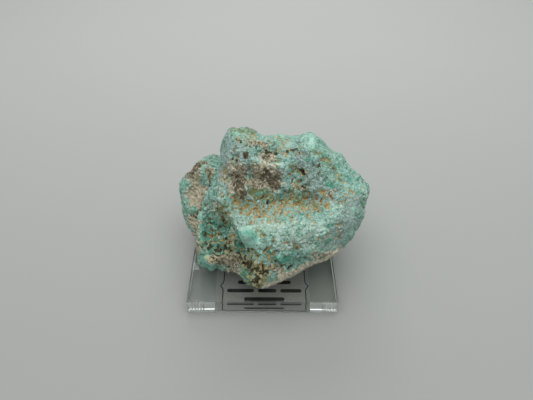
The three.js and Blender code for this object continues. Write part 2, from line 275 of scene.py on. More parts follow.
# %% Strokes of bare rock
# Each one is (reach, strength, first point, further points if its path has them).
STROKES = {
    "matrix": [
        (4.2, 1.1, (-15.6, 12.4), (-10.4, 12), (-4.4, 12.6), (-0.6, 12)),
        (3.4, 1.3, (-14, 8.6), (-10.8, 4.6)),
        (3.8, 1.2, (-12, 9), (-5, 9.4), (-0.8, 8)),
        (2.4, 0.9, (-4.6, 17.2), (-0.8, 17.2)),
        (2.4, 0.9, (-8.6, 22.4), (-3.2, 20.8)),
        (1.8, 0.8, (6.6, 7.8), (9, 6.6)),
        (2, 0.9, (18.4, 4.8), (20, 3.2)),
        (2.8, 0.9, (-0.8, -20.2), (2, -21.8)),
        (2.4, 1.1, (-20.6, -17), (-17.4, -17.6), (-13.6, -16.6)),
        (3.2, 0.9, (-16.6, -17.4), (-13.4, -19.4), (-14.5, -22)),
        (2.4, 1.1, *LOWER_RIM),
        (2.2, 0.8, (13.5, -15.8), (18.5, -14.6)),
        (1.6, 0.6, (21.5, -6), (21.8, -9.5)),
        (1.4, 0.8, (-25.2, -4.5), (-26, -9.5), (-26.4, -15)),
    ],
    "pale_rock": [
        (4, 0.7, (-14, 13.4), (-9, 13.4), (-4, 14.2)),
        (1.8, 1.3, (-0.8, 13.6), (0.8, 12.4)),
        (1.2, 0.8, (-5.6, 9.4), (-1.6, 9)),
        (4, 1.4, *LOWER_RIM),
    ],
    "tuft": [
        (1.5, 1.1, (-9.5, 12.4), (-9, 10.8)),
        (1.2, 1.2, *LEFT_TUFT),
        (1.2, 1.2, *RIGHT_TUFT),
        (2.2, 1.3, (-7.6, 5.2), (-2, 4.8)),
        (1.4, 0.8, (-16.4, 12.2), (-15.6, 9.6)),
    ],
    "dark_rock": [
        (2.9, 1.5, *UPPER_DARK_LUMP),
        (2.2, 1.5, *LOWER_DARK_LUMP),
        (1.3, 1.2, (-3.6, 12.4), (1.2, 9.9)),
        (1.7, 1.1, (-4, 10.2), (0.6, 7.6)),
        (1.6, 0.3, (-14, 13.2), (-10, 13.6)),
        (1.8, 0.7, (-4.2, 17), (-2.2, 16.8)),
        (1.8, 0.6, (-7, 22), (-4.6, 21.4)),
        (2.2, 0.5, (13.5, -16), (18.5, -14.8)),
        (1.6, 0.6, (18.6, 4.4)),
    ],
}
# The lower lobe on the left has strokes of its own: tan, with turquoise rims.
LOBE_STROKES = {
    "matrix": [
        (6.6, 1.1, (-26.6, 12), (-26.9, 3), (-25.6, -7.5)),
        (3.8, 1, (-22.5, 11)),
    ],
    "dark_rock": [
        (3.6, 1.1, (-28.6, 12), (-25, 14)),
        (2.2, 0.9, (-21.8, 11), (-22.6, 8.4)),
        (3, 0.15, (-27.6, 6), (-26.2, 1)),
    ],
    "olive": [
        (3.2, 1, (-26.5, 14.6), (-21.5, 17)),
        (1.8, 0.7, (-24.5, -2.5), (-24.9, 3)),
    ],
    # The lobe's grime strokes are partly painted shade, in the crevice between the lobe and the body.
    "grime_and_shade": [
        (1.6, 0.7, (-20.2, 13), (-22, 8), (-23.6, 2), (-25, -3)),
        (1.4, 0.9, (-29.5, -2.8), (-26, -3.2)),
        (1.6, 0.7, (-28.6, 12), (-25.6, 13.8)),
    ],
    "rim": [
        (2.4, 1, (-30.6, 8), (-31.6, 5), (-31, 0.2)),
        (2.4, 1.1, (-31, -1.2), (-26.6, -1.2)),
        (1.6, 1, (-24.2, 12.8), (-23.9, 7.6)),
        (1.8, 0.6, (-25, 16), (-21, 16.6)),
        (1.6, 0.6, (-30, -4.5), (-28.5, -8.5)),
    ],
}
print("bare rock:", len(STROKES["matrix"]), "strokes, and", len(LOBE_STROKES["matrix"]), "on the lobe")

# %% Strokes of stain and of painted shade
STROKES |= {
    "ochre": [
        (5, 1, (-13, 2.4), (-10.4, 0.4), (-5.2, -1.2), (0, 0.4), (6.5, 1.2)),
        (4, 0.9, (6.5, 1.2), (13.1, 0.8), (17.4, 1.7)),
        (3.4, 0.8, (-17.4, 12.2), (-18.3, 6.9), (-15.2, 2.6)),
        (3.4, 1, (-19.2, 0.8), (-16.1, -2.2)),
        (2.6, 0.7, (-22, -9.6), (-17, -10.4)),
        (2, 1.3, (-14.4, -8.8), (-13.9, -15.3)),
        (3.4, 0.7, (14.4, 6), (19.6, 4.7), (26.5, 4.7)),
        (1.8, 0.8, (2, 22), (3.2, 17.4)),
        (1.6, 0.9, (8.2, 21.6), (9, 17)),
        (1.8, 1, (8.4, 13.8), (9.6, 12.2)),
        (3.4, 0.4, (13, 20), (18.5, 14.5), (23, 10)),
        (5, 0.6, (-6, -5), (6, -4), (12, -4)),
        (3, 0.35, (-14, 22.5), (-11, 15.5)),
        (2, 0.9, (-9.4, 25.6), (-6.8, 25)),
        (2.4, 0.6, (-2, 23.6), (5, 22.6)),
        (4.6, 1.4, (-8.7, -18.8), (-4.3, -21), (-6, -25)),
        (2.8, 0.9, (-12.5, -19), (-6, -15.6), (-1.5, -16.5)),
        (3, 0.6, (-20.5, 1), (-19, -4)),
        (2.4, 0.9, (-19, -17), (-14, -16.6)),
        (3, 0.45, (20, -2.5), (22.5, -8)),
        (4.4, 0.45, (2, -11), (12, -12), (20, -9.5)),
    ],
    "olive": [
        (1.3, 1.3, (-8.3, 5.4), (-6.2, 6.6), (-2.8, 6.2), (-1.2, 4.6)),
        (1.3, 1.4, (-8.3, 5.4), (-6.8, 3.9), (-4.3, 3.3), (-1.2, 4)),
        (0.9, 1.1, (-4.7, 5.8), (-4.6, 4.4)),
        (4.2, 0.85, (-8.7, -18.8), (-4.3, -21.5), (-5.5, -26)),
        (2.2, 1, (-8.2, -13.8), (-6.6, -14.8)),
        (2.4, 0.7, (-6.2, -7.2), (-3.6, -9.4)),
        (2, 1, (-2.6, 17.6), (0.6, 16.6)),
        (1.8, 0.9, (5, 14.6), (8.4, 12.6)),
        (2.6, 0.8, (5.4, 5), (9, 7.2), (12.6, 3.6)),
        (2.4, 0.7, (2, 2.6), (8, 2.8), (15, 0.6)),
        (2.4, 0.8, (-19, -2.6), (-15.5, -5)),
        (2.8, 0.7, (13.5, 19.5), (18.5, 15), (22, 11)),
        (2, 0.8, (-19, 0.6), (-16.4, -1.6)),
        (2.4, 0.8, (-15, 26.8), (-7, 26)),
        (2, 0.6, (-1, 24), (6, 23)),
    ],
    # The grime strokes are dark clay and partly painted shade: shade under the smooth lump, over the dark
    # lower-left slope and in crevices.
    "grime_and_shade": [
        (3.4, 1, (-24, -12.4), (-21, -14), (-17, -13.6)),
        (3.6, 0.5, (-22.5, -5.5), (-18, -8.5)),
        (2.8, 0.7, (-19.5, -0.2), (-17.5, -2)),
        (2.2, 0.7, (-18, -1.8), (-16, -5.5), (-13.4, -9), (-13, -14)),
        (1.8, 0.9, (-6.6, -12.6), (-9.6, -13.6)),
        (2.4, 1.1, (-12, -16.8), (-9, -17.4)),
        (4.8, 1.2, (-8.8, -19.4), (-4.6, -22), (-7, -24.6)),
        (3, 0.55, (-17, -17.6), (-13, -20)),
        (2.2, 0.8, (-21.5, -16), (-18.5, -17.2)),
        (0.9, 1, (-8, 5.2), (-6.6, 3.7), (-4.3, 3.2), (-1.4, 3.7)),
        (1.6, 0.6, (1, -13.4), (4.6, -13.8)),
        (2, 0.9, (-0.6, -19), (4, -19.4)),
        (3.2, 0.4, (-15, 13.6), (-10, 12.4), (-9, 9.4), (-13.5, 9.6)),
        (1.4, 0.6, (-6, 14), (-2, 13.6)),
        (1.6, 0.9, (-15.6, 16.2), (-12.6, 15.6)),
        (1.3, 1.5, (-10.6, 18), (-9.6, 17.8)),
        (1.1, 1, (-13.5, 23.4), (-10, 22.8)),
        (1.8, 0.7, (-7.8, 22), (-4, 21.2)),
        (1.2, 1.2, (-3.6, 19.2), (0.2, 19)),
        (1.1, 1.1, (4.2, 19.8), (7.2, 19.2)),
        (1.3, 1.3, (8.6, 13.6), (9.8, 12.2)),
        (1.4, 0.9, (5.8, 8.6), (9.6, 6.2)),
        (1.4, 0.9, (11.6, -0.2), (14.4, -0.8)),
        (1.6, 0.8, (17, 10.4), (19.4, 9.6)),
        (0.9, 1.6, (15.2, 15)),
        (0.9, 1.4, (19.4, 13.4)),
    ],
}
print("stain:", sum(len(STROKES[kind]) for kind in ("ochre", "olive", "grime_and_shade")), "strokes")

# %% Strokes of turquoise hue and of relief
STROKES |= {
    "deep": [
        (1.8, 1.1, (-6.4, 5.1)),
        (1.8, 1.1, (-3, 4.8)),
        (5.6, 1, (-23.1, -5.7), (-18.7, -4.4), (-16.1, -7.9), (-21.8, -8.8)),
        (3.6, 0.8, (-21.8, -2.7), (-17.4, -0.9)),
        (2.4, 0.9, (0.6, -16.4), (3.5, -17.8), (6, -15.5)),
        (2.2, 1, (-3.2, -14.8), (-1.6, -16)),
        (2.2, 1, (-12.6, -8.8), (-11.3, -15.7)),
        (2.6, 0.9, (-10.4, -17.5), (-8.7, -25.8)),
        (2.6, 0.6, (-4, -24.5), (-3, -20)),
        (1.8, 1, (17.6, -6.3)),
        (1.6, 0.9, (15.6, -1.2)),
        (2.4, 0.8, (12.6, -11.6), (14.6, -11.8)),
        (2.4, 0.9, (16.8, 9.5), (19, 8.9)),
        (2.6, 0.6, (2.6, 9.6), (2.4, 6)),
        (3.6, 0.4, (10.5, 22), (16.5, 13.5)),
        (2.6, 0.5, (6, 16.4), (11, 14.6)),
        # This stroke is partly painted shade: deep teal laid dark over the lower-left slope where shade
        # falls.
        (5, 1.3, (-24.5, -12), (-17.5, -13.4)),
        (2.6, 0.8, (-23.2, -17.6), (-21.4, -19.4)),
        (2.6, 0.6, (22, -8), (16, -13)),
    ],
    "chalky_and_lit": [
        (1.8, 1.3, *RIDGE_OVER_ROCK),
        # This broad stroke is partly painted light: it makes the top of the bulge paler, where the light
        # falls.
        (7, 0.8, (-16, -3.5), (-6, -6), (4, -8), (14, -8)),
        (4, 1, (-10, -8.6), (-8.4, -10)),
        (5, 0.7, (18, 2), (25, 1)),
        (2.4, 0.9, (-18.5, 5.5), (-21, -1.5)),
        (2.2, 1.3, (-9.4, 12.6), (-9.8, 11)),
        (1.1, 1.4, *LEFT_TUFT),
        (1.1, 1.4, *RIGHT_TUFT),
        (4.4, 0.9, (2, -12), (14, -10.5)),
        (1.4, 1.2, (-12, -17), (-12.2, -20)),
        (1.4, 1.2, (-19, -16.8), (-16.6, -18.6)),
    ],
    "blue": [
        (7, 1.1, (-17.1, 22), (-12.2, 17.4), (-18, 15)),
        (2.2, 1.1, (-7.5, 16.3), (-3.5, 14.8), (2, 13.8)),
        (3, 1, (2.6, 13), (3.4, 5)),
        (3, 0.9, (4, 20.6), (7, 20.2)),
        (6.5, 1, (9, 16), (13, 11.1), (13.3, 4.4)),
        (2.4, 1, (-17.6, 10.4), (-16.7, 8)),
        (5, 1.2, (26, 3), (24.5, -5), (19, -11.5)),
        (3.6, 0.8, (14, 3.6), (20, 6.5)),
    ],
    "green": [
        (4.2, 0.4, (-9.3, -9.1), (-8.2, -10.4)),
        (2.5, 1.2, *CORNER_LUMP),
        (6, 0.4, (12.2, 23), (15.3, 18.2)),
        (3, 0.5, (-15, 26), (-9.5, 25.5)),
        (1.8, 1, (-12.6, -22.6), (-9.6, -22.9)),
    ],
    "smooth": [
        (4.2, 1.1, (-9.2, -8.8), (-8, -10.4)),
        (2.3, 1.2, *CORNER_LUMP),
        (1.7, 0.5, *RIDGE_OVER_ROCK),
        (1.8, 0.6, (0.8, -16.6), (3, -17.8), (4.8, -17)),
        (1.4, 0.6, (-25.6, -2), (-25, -12)),
        (2.4, 0.5, (4.2, 21), (7, 20.6)),
        (3, 0.5, (12.4, 23.6), (13, 21)),
        (2.4, 0.6, *UPPER_DARK_LUMP),
        (1.8, 0.6, *LOWER_DARK_LUMP),
    ],
    "worn": [
        (5, 1, (-17.5, 23.5), (-18, 16)),
        (3.6, 0.8, (-14, 26.5), (-6, 24.5), (2, 24), (10, 24)),
        (5.5, 0.8, (11, 23), (17, 17), (22, 12), (26.5, 6)),
        (5, 1.1, (26.5, 4), (25, -5), (20, -11.5), (14, -14.5)),
        (8, 0.8, (-4, -7), (8, -6.5), (18, -3)),
        (4, 0.6, (-8, 0.5), (4, -0.5), (14, 0)),
        (2.8, 0.9, *LOWER_RIM),
    ],
    "coarse": [
        (6, 1, (-21.5, -1.5), (-19, -8), (-21, -13), (-14, -15)),
        (5, 1.2, (-8.7, -18.8), (-5.3, -23)),
        (4, 0.6, (-15, 19), (-12, 14)),
        (4, 0.6, (-2, -13.5), (8, -15.5)),
        (4.5, 0.5, (3, 12), (8, 10), (12, 6)),
        (3.6, 0.5, (-13.5, 13), (-9, 9)),
    ],
}
print("kinds of surface:", ", ".join(STROKES))

# %% [markdown]
# ### Laying the strokes on the mesh
# The places wander a little before the strokes are laid, which tears their outlines as nature
# does. The smooth lumps stay round, because they stand proud of the crust as whole domes. The
# lobe on the left lies lower, so its edge is a line on the layout and a depth behind the face.
# Round the sides and behind, slow noise decides where the rock and the stains lie.

# %% Lay the strokes
# The edge runs up the layout as (u, v) points. These values are all in millimetres.
LOBE_EDGE = [(-26.6, -9.5), (-24.4, -0.7), (-22.6, 4.7), (-20.0, 10.5), (-18.6, 14.2), (-18.6, 19.0)]
LOBE_MARGIN = (-0.5, 0.8)  # distance left of the edge over which the lobe's strokes begin
LOBE_FOOT = (-11.5, -9.5)  # v over which they begin
LOBE_DEPTH = (-3.5, -6.0)  # w over which they begin
FRONT_FADE = (-13.0, -5.0)  # w over which the broad face's strokes fade out round the side
WANDER = ((1.3, 3.6), (0.9, 1.3))  # how far places wander, and the size of that noise
RIM_GREEN = 0.5
LOBE_SHARES = {"worn": 0.5, "pale_rock": 0.35}

edge_u = np.interp(v, [point[1] for point in LOBE_EDGE], [point[0] for point in LOBE_EDGE])
on_lobe = ease(*LOBE_MARGIN, edge_u - u) * ease(*LOBE_FOOT, v) * ease(*LOBE_DEPTH, w)
on_face = ease(*FRONT_FADE, w) * (1 - on_lobe)

smooth_lumps = strongest_stroke(u, v, STROKES["smooth"]) * on_face
for step, (reach, size) in enumerate(WANDER):
    u = u + reach * noise_field(points, size, 1 + step)
    v = v + reach * noise_field(points, size, 3 + step)
surface = {kind: strongest_stroke(u, v, strokes) * on_face for kind, strokes in STROKES.items()}
surface["smooth"] = smooth_lumps
surface["matrix"] -= surface.pop("tuft")
rims = strongest_stroke(u, v, LOBE_STROKES["rim"]) * on_lobe
for kind in ("matrix", "dark_rock", "olive", "grime_and_shade"):
    surface[kind] += strongest_stroke(u, v, LOBE_STROKES[kind]) * on_lobe * (1 - rims)
surface["green"] += RIM_GREEN * rims
for kind, share in LOBE_SHARES.items():
    surface[kind] += share * on_lobe
print(f"broad face: {100 * np.mean(on_face):.1f}% of the skin, and the lobe {100 * np.mean(on_lobe):.1f}%")

# %% The sides and the back
SIDE_PATCH = 11.0  # size of the noise that decides there, in millimetres
FIRST_SIDE_SHIFT = 10  # the noise's shift for the first kind, and one more for each after it
# The levels of that noise from which each kind of surface begins, and at which it is full.
SIDE_LIMITS = {
    "matrix": (0.16, 0.4),
    "ochre": (0.05, 0.5),
    "deep": (0.1, 0.5),
    "blue": (0.1, 0.5),
    "coarse": (0.1, 0.4),
    "worn": (-0.1, 0.3),
    "grime_and_shade": (0.25, 0.6),
}
STRONGEST = 1.5
STRONG = 0.5

hidden = (1 - on_face) * (1 - on_lobe)
for shift, (kind, limits) in enumerate(SIDE_LIMITS.items(), FIRST_SIDE_SHIFT):
    surface[kind] += hidden * ease(*limits, noise_field(points, SIDE_PATCH, shift))
for kind, values in surface.items():
    keep_attribute(stone.data, kind, np.clip(values, 0, STRONGEST))
    print(f"{kind}: strong on {100 * np.mean(values > STRONG):.1f}% of the skin")

# %% [markdown]
# ## The crust
# Turquoise fills cracks in its host rock as a skin of tiny rounded lumps, with creases and pits
# between them where softer clay has washed out. The relief is rule-based and repeats over the
# whole stone, so a Geometry Nodes tree makes it: rounded lumps of three sizes from Voronoi
# distances, scattered pits, fine grit, and thin ledges where the host rock shows. Each vertex
# moves along its normal by the sum. The strokes decide where the crust is coarse, worn or
# smooth. The tree also writes down how far each vertex is from its grain's middle, so creases
# can be coloured. A displacement in the material would be lost when the mesh is exported.

# %% Sizes of the crust
CRUST_SIZES = {
    "Swell size": 3.6 * MM,
    "Swell height": 0.9 * MM,
    "Lump size": 1.9 * MM,
    "Lump height": 0.95 * MM,
    "Grain size": 1.0 * MM,
    "Grain height": 0.45 * MM,
    "Pit spacing": 3.1 * MM,
    "Pit depth": 1.1 * MM,
    "Ledge height": 0.8 * MM,
    "Grit height": 0.4 * MM,
    "Smooth lump height": 1.2 * MM,
}
DOME_LEVEL = 0.22  # a lump's share above the skin; the rest sinks into the creases
BED_SLOPE = 0.6  # radians that the rock's beds run down to the right
BED_DIRECTION = tuple(ACROSS * math.cos(BED_SLOPE) - UP_THE_FACE * math.sin(BED_SLOPE))
BED_SQUEEZE = 0.88  # how much of the length along the beds is squeezed away
BED_GRAIN = 0.75 * MM
MOOD_SIZE = 4.5 * MM  # patches of livelier and calmer crust
PIT_PATCH = 5 * MM  # patches of crust that may have pits
PIT_FRAY = 1.1 * MM
GRIT_SIZE = 0.8 * MM
# Noise that bends a pattern: its size, and how far it moves a place.
BED_WANDER = (2 * MM, 0.4 * MM)
LUMP_WANDER = (2.2 * MM, 1.1 * MM)
# How much of the relief each kind of surface leaves standing, and from what strength.
RELIEF_SHARES = {
    "coarse": (0.0, 0.8, 1.8),
    "smooth": (0.0, 0.6, 0.1),
    "worn": (0.1, 0.9, 0.4),
    "matrix": (0.2, 0.7, 0.45),
}
print("crust sizes:", {name: round(value / MM, 2) for name, value in CRUST_SIZES.items()})


# %% Patterns that the relief and the colour share
def wandering_place(add, position, size, reach):
    """The places bent by noise, so that no row of cells looks laid out."""
    bend = add("ShaderNodeTexNoise", {"Vector": position, "Scale": 1 / size, "Detail": 2.0})["Color"]
    stray = add("ShaderNodeVectorMath", {0: bend, 1: (0.5, 0.5, 0.5)}, operation="SUBTRACT")[0]
    bent = {0: stray, 1: (reach, reach, reach), 2: position}
    return add("ShaderNodeVectorMath", bent, operation="MULTIPLY_ADD")[0]


def bed_streaks(add, position):
    """Noise that streaks along the rock's beds: the places along them are squeezed."""
    place = wandering_place(add, position, *BED_WANDER)
    along = add("ShaderNodeVectorMath", {0: place, 1: BED_DIRECTION}, operation="DOT_PRODUCT")["Value"]
    share = add("ShaderNodeVectorMath", {0: BED_DIRECTION, "Scale": along}, operation="SCALE")[0]
    squeeze = (-BED_SQUEEZE, -BED_SQUEEZE, -BED_SQUEEZE)
    beds = add("ShaderNodeVectorMath", {0: share, 1: squeeze, 2: place}, operation="MULTIPLY_ADD")[0]
    noise_inputs = {"Vector": beds, "Scale": 1 / BED_GRAIN, "Detail": 3.0, "Roughness": 0.6}
    return add("ShaderNodeTexNoise", noise_inputs)[0]


def domes(add, place, size, height):
    """Rounded lumps on Voronoi cells: their rise, and the cells for later use."""
    scale = add("ShaderNodeMath", {0: 1.0, 1: size}, operation="DIVIDE")[0]
    cells = add("ShaderNodeTexVoronoi", {"Vector": place, "Scale": scale}, feature="F1")
    squared = add("ShaderNodeMath", {0: cells["Distance"], 1: cells["Distance"]}, operation="MULTIPLY")[0]
    rise = add("ShaderNodeMath", {0: DOME_LEVEL, 1: squared}, operation="SUBTRACT")[0]
    return add("ShaderNodeMath", {0: rise, 1: height}, operation="MULTIPLY")[0], cells


# %% Parts of the relief
def liveliness(add, position, read):
    """How strong the relief is at each place, by its kind of surface and a slow mood of its own."""
    mood = add("ShaderNodeTexNoise", {"Vector": position, "Scale": 1 / MOOD_SIZE, "Detail": 1.0})[0]
    lively = add("ShaderNodeMapRange", {0: mood, 1: 0.35, 2: 0.65, 3: 0.45, 4: 1.4}, **SOFT_STEP)[0]
    for kind, (start, full, share) in RELIEF_SHARES.items():
        span = {0: read[kind], 1: start, 2: full, 3: 1.0, 4: share}
        factor = add("ShaderNodeMapRange", span, **SOFT_STEP)[0]
        lively = add("ShaderNodeMath", {0: lively, 1: factor}, operation="MULTIPLY")[0]
    return lively


def pits(add, position, place, given, lively):
    """Pits at the cells of a wide grid, frayed, and only where a slow noise lets them."""
    scale = add("ShaderNodeMath", {0: 1.0, 1: given["Pit spacing"]}, operation="DIVIDE")[0]
    cells = add("ShaderNodeTexVoronoi", {"Vector": place, "Scale": scale}, feature="F1")
    fray = add("ShaderNodeTexNoise", {"Vector": position, "Scale": 1 / PIT_FRAY, "Roughness": 0.6})[0]
    frayed = add("ShaderNodeMath", {0: cells["Distance"], 1: fray}, operation="ADD")[0]
    hole = add("ShaderNodeMapRange", {0: frayed, 1: 0.58, 2: 0.8, 3: 1.0, 4: 0.0}, **SOFT_STEP)[0]
    slow = add("ShaderNodeTexNoise", {"Vector": position, "Scale": 1 / PIT_PATCH, "Detail": 1.0})[0]
    gate = add("ShaderNodeMapRange", {0: slow, 1: 0.46, 2: 0.6}, **SOFT_STEP)[0]
    here = add("ShaderNodeMath", {0: hole, 1: gate}, operation="MULTIPLY")[0]
    return add("ShaderNodeMath", {0: here, 1: lively}, operation="MULTIPLY", use_clamp=True)[0]


def ledges_and_grit(add, position, given, read):
    """Ledges along the rock's beds, grit over everything but the smooth lumps, and those lumps."""
    streaks = bed_streaks(add, position)
    ledge = add("ShaderNodeMapRange", {0: streaks, 1: 0.4, 2: 0.6, 3: -0.6, 4: 0.5}, **SOFT_STEP)[0]
    rock = add("ShaderNodeMapRange", {0: read["matrix"], 1: 0.3, 2: 0.7}, **SOFT_STEP)[0]
    grain = add("ShaderNodeTexNoise", {"Vector": position, "Scale": 1 / GRIT_SIZE, "Roughness": 0.6})[0]
    grit = add("ShaderNodeMath", {0: grain, 1: 0.5}, operation="SUBTRACT")[0]
    calm = add("ShaderNodeMapRange", {0: read["smooth"], 2: 0.6, 3: 1.0, 4: 0.1}, **SOFT_STEP)[0]
    proud = add("ShaderNodeMapRange", {0: read["smooth"], 1: 0.1, 2: 1.1}, **SOFT_STEP)[0]
    total = 0.0
    for rise, share, height in (
        (ledge, rock, given["Ledge height"]),
        (grit, calm, given["Grit height"]),
        (proud, 1.0, given["Smooth lump height"]),
    ):
        part = add("ShaderNodeMath", {0: rise, 1: share}, operation="MULTIPLY")[0]
        total = add("ShaderNodeMath", {0: part, 1: height, 2: total}, operation="MULTIPLY_ADD")[0]
    return total


# %% Geometry Nodes for the crust
def build_crust_tree():
    """Moves the skin by the relief, keeps notes on it for the material, and sets the finish."""
    tree = bpy.data.node_groups.new("crust", "GeometryNodeTree")
    tree.is_modifier = True
    tree.interface.new_socket("Geometry", in_out="INPUT", socket_type="NodeSocketGeometry")
    for name, value in CRUST_SIZES.items():
        socket = tree.interface.new_socket(name, in_out="INPUT", socket_type="NodeSocketFloat")
        socket.default_value = value
    tree.interface.new_socket("Finish", in_out="INPUT", socket_type="NodeSocketMaterial")
    tree.interface.new_socket("Geometry", in_out="OUTPUT", socket_type="NodeSocketGeometry")
    add = partial(add_node, tree)
    given = add("NodeGroupInput")
    read = {
        kind: add("GeometryNodeInputNamedAttribute", {"Name": kind}, data_type="FLOAT")["Attribute"]
        for kind in RELIEF_SHARES
    }
    position = add("GeometryNodeInputPosition")[0]
    place = wandering_place(add, position, *LUMP_WANDER)
    lively = liveliness(add, position, read)

    swells, _ = domes(add, place, given["Swell size"], given["Swell height"])
    lumps, _ = domes(add, place, given["Lump size"], given["Lump height"])
    grains, grain_cells = domes(add, place, given["Grain size"], given["Grain height"])
    crumbs = add("ShaderNodeMath", {0: swells, 1: lumps}, operation="ADD")[0]
    crumbs = add("ShaderNodeMath", {0: crumbs, 1: grains}, operation="ADD")[0]
    relief = ledges_and_grit(add, position, given, read)
    relief = add("ShaderNodeMath", {0: crumbs, 1: lively, 2: relief}, operation="MULTIPLY_ADD")[0]
    pitted = pits(add, position, place, given, lively)
    depth = add("ShaderNodeMath", {0: pitted, 1: given["Pit depth"]}, operation="MULTIPLY")[0]
    relief = add("ShaderNodeMath", {0: relief, 1: depth}, operation="SUBTRACT")[0]

    chances = add("ShaderNodeSeparateXYZ", {0: grain_cells["Color"]})
    notes = {"between": grain_cells["Distance"], "tone": chances[0], "kind": chances[1], "pit": pitted}
    skin = given["Geometry"]
    for name, value in notes.items():
        note = {"Geometry": skin, "Name": name, "Value": value}
        skin = add("GeometryNodeStoreNamedAttribute", note, data_type="FLOAT", domain="POINT")[0]
    normal = add("GeometryNodeInputNormal")[0]
    offset = add("ShaderNodeVectorMath", {0: normal, "Scale": relief}, operation="SCALE")[0]
    moved = add("GeometryNodeSetPosition", {"Geometry": skin, "Offset": offset})[0]
    real = add("GeometryNodeRealizeInstances", {"Geometry": moved})[0]
    finished = add("GeometryNodeSetMaterial", {"Geometry": real, "Material": given["Finish"]})[0]
    add("NodeGroupOutput", {"Geometry": finished})
    return tree


crust_tree = build_crust_tree()
print("crust tree:", len(crust_tree.nodes), "nodes")

# %% [markdown]
# ## The crust's finish
# Real turquoise is a waxy, opaque mineral. Broken and weathered as here, its surface is dull and
# chalky, so the shader is rough with no metal and a weak gloss. The colour is built the way the
# stone was: turquoise first, in blotches of several hues, then clay and iron stain, then bare
# rock, and last dark clay in its hollows. Painted light is laid in too: painted shade in the
# creases, pits and hollows and between crumbs, and painted highlights on the tops of grains and
# crumbs. Each layer has a level, from the strokes, the creases or a noise, and lies where that
# is high. Up close the stone is a mosaic of crumbs just over half a millimetre wide, and each is
# one colour. So every crumb has a few chances of its own, and many layers add one of them to
# their level. A smooth noise alone would give soft worms of colour, which real grit never has.

# %% Colours of the crust
TURQUOISE = {
    "pale": "#C8EADD",
    "middle": "#9DCCBE",
    "deep": "#62A794",
    "blue": "#A9C4BE",
    "green": "#93C6A6",
    "chalk_highlight": "#E2F2E8",
    "waxy": "#93C1B0",
}
# Of these tints, crease and shadow are painted shade, grime is dark clay and painted shade, and straw is grit
# and painted highlights.
STAIN = {
    "crease": "#3D6359",
    "tan": "#D6C7A0",
    "ochre": "#C6AE78",
    "rust": "#9A7A4C",
    "olive": "#7A7E4A",
    "grime_and_shade_tint": "#413D2D",
    "straw_and_highlight": "#D0C492",
    "shadow": "#352E20",
}
ROCK = {"seam_shade": "#5E5642", "dark": "#69614F", "brown": "#C4BB9C", "grey": "#D4CEB8", "cream": "#F2ECD4"}
CRUMB_SIZE = 0.62 * MM
CRUMB_WANDER = (0.5 * MM, 0.35 * MM)
BUMP_HEIGHT = 0.35 * MM
NOISE_SIZES = {"blotch": 6 * MM, "patch": 2.2 * MM, "fleck": 0.8 * MM, "dust": 0.4 * MM}

Layer = namedtuple("Layer", "tint level low high strength noise tear", defaults=(1.0, None, 0.0))
print("crust colours:", len(TURQUOISE) + len(STAIN) + len(ROCK))


# %% Layers of colour
def laid_over(add, colour, layers):
    """Lays tints over a colour, each where its level rises from low to high, torn by a noise."""
    for layer in layers:
        level = layer.level
        if layer.tear:
            torn = {0: layer.noise, 1: layer.tear, 2: level}
            level = add("ShaderNodeMath", torn, operation="MULTIPLY_ADD")[0]
        # The noise adds half the tear on average, so the limits rise by as much.
        low, high = (edge + layer.tear / 2 for edge in (layer.low, layer.high))
        cover = add("ShaderNodeMapRange", {0: level, 1: low, 2: high, 4: layer.strength}, **SOFT_STEP)[0]
        tint = paint(layer.tint) if isinstance(layer.tint, str) else layer.tint
        colour = add("ShaderNodeMix", {0: cover, 6: colour, 7: tint}, data_type="RGBA")[2]
    return colour


def read_skin(add):
    """What the finish is mixed from: the strokes, the depths, noises of real sizes and crumbs."""
    place = add("ShaderNodeTexCoord")["Object"]
    skin = {"streaks": bed_streaks(add, place)}
    for name in (*surface, "between", "tone", "kind", "pit", "hollow", "basin"):
        skin[name] = add("ShaderNodeAttribute", attribute_name=name)["Fac"]
    for name, size in NOISE_SIZES.items():
        skin[name] = add("ShaderNodeTexNoise", {"Vector": place, "Scale": 1 / size, "Roughness": 0.6})[0]
    bent = wandering_place(add, place, *CRUMB_WANDER)
    crumbs = add("ShaderNodeTexVoronoi", {"Vector": bent, "Scale": 1 / CRUMB_SIZE}, feature="F1")
    chances = add("ShaderNodeSeparateXYZ", {0: crumbs["Color"]})
    skin |= {"crumb": crumbs["Distance"], "first": chances[0], "second": chances[1], "third": chances[2]}
    lumps = {0: skin["smooth"], 1: 0.1, 2: 0.8, 3: 1.0, 4: 0.0}
    skin["rough"] = add("ShaderNodeMapRange", lumps, **SOFT_STEP)[0]
    creases = {0: skin["hollow"], 1: 1.2, 2: skin["between"]}
    skin["creased"] = add("ShaderNodeMath", creases, operation="MULTIPLY_ADD")[0]
    return skin


